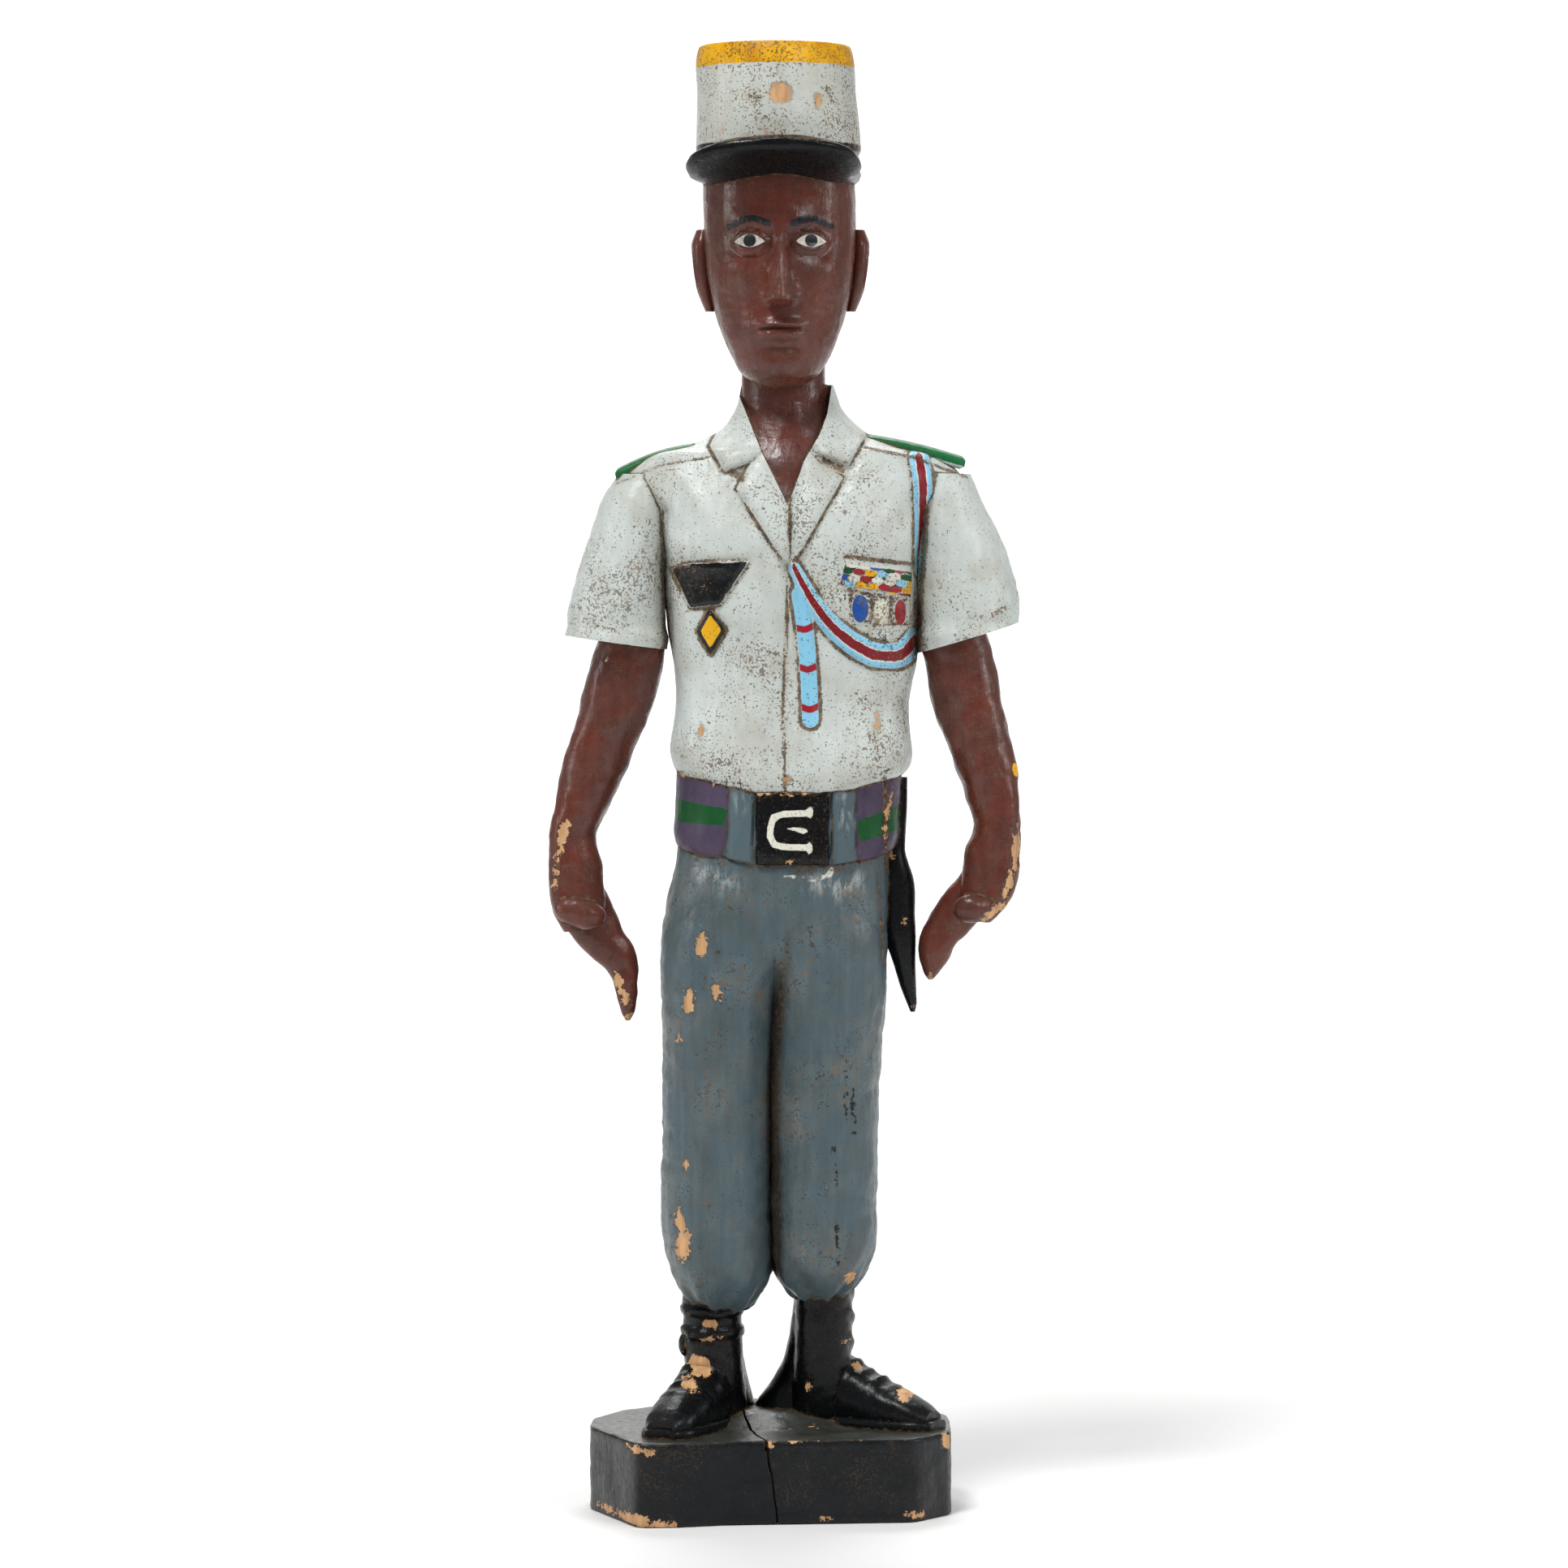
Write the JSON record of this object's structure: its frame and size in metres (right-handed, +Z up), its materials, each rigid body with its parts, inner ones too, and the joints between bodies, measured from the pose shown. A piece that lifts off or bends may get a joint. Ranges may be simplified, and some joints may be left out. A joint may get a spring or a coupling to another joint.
{
  "type": "carved wooden soldier figure",
  "caption": "Standing soldier in short sleeves, peaked cap, belt and bloused trousers, carved and painted from one block of wood with its own low base.",
  "frame": {"origin": "centre of the base's flat underside, on the surface the figure stands on", "axes": "+Z up through the cap, -Y the way the figure faces, +X towards the figure's left hand"},
  "size_m": [0.1754, 0.1052, 0.5405],
  "materials": {
    "painted_wood": "hand-painted in flat colours on carved light wood, worn and grimy, with small chips down to bare wood"
  },
  "bodies": {
    "root": {"carved_figure": "painted_wood"}
  },
  "joints": []
}
